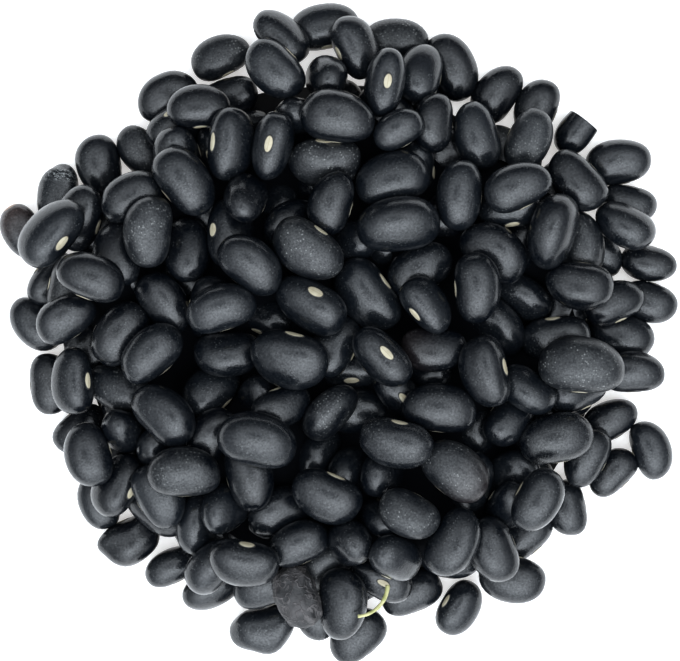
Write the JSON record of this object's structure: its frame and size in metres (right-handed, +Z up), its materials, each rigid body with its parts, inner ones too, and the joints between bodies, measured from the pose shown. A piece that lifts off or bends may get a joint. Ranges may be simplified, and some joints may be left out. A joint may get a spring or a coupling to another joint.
{
  "type": "heap of dried black beans",
  "caption": "Round, uneven heap of small dried black beans lying loose on a flat surface, with a short dry stalk among them",
  "frame": {"origin": "centre of the heap's box in plan, on the surface that it lies on", "axes": "+Z up out of the surface, +X to the right of the picture, +Y to its top"},
  "size_m": [0.095, 0.0926, 0.0219],
  "materials": {
    "black_bean": "satin seed coat, near black, with a fine grain",
    "dry_stalk": "matt dry plant stem, pale yellow-green"
  },
  "bodies": {
    "root": {"beans": "black_bean", "stalk": "dry_stalk"}
  },
  "joints": []
}
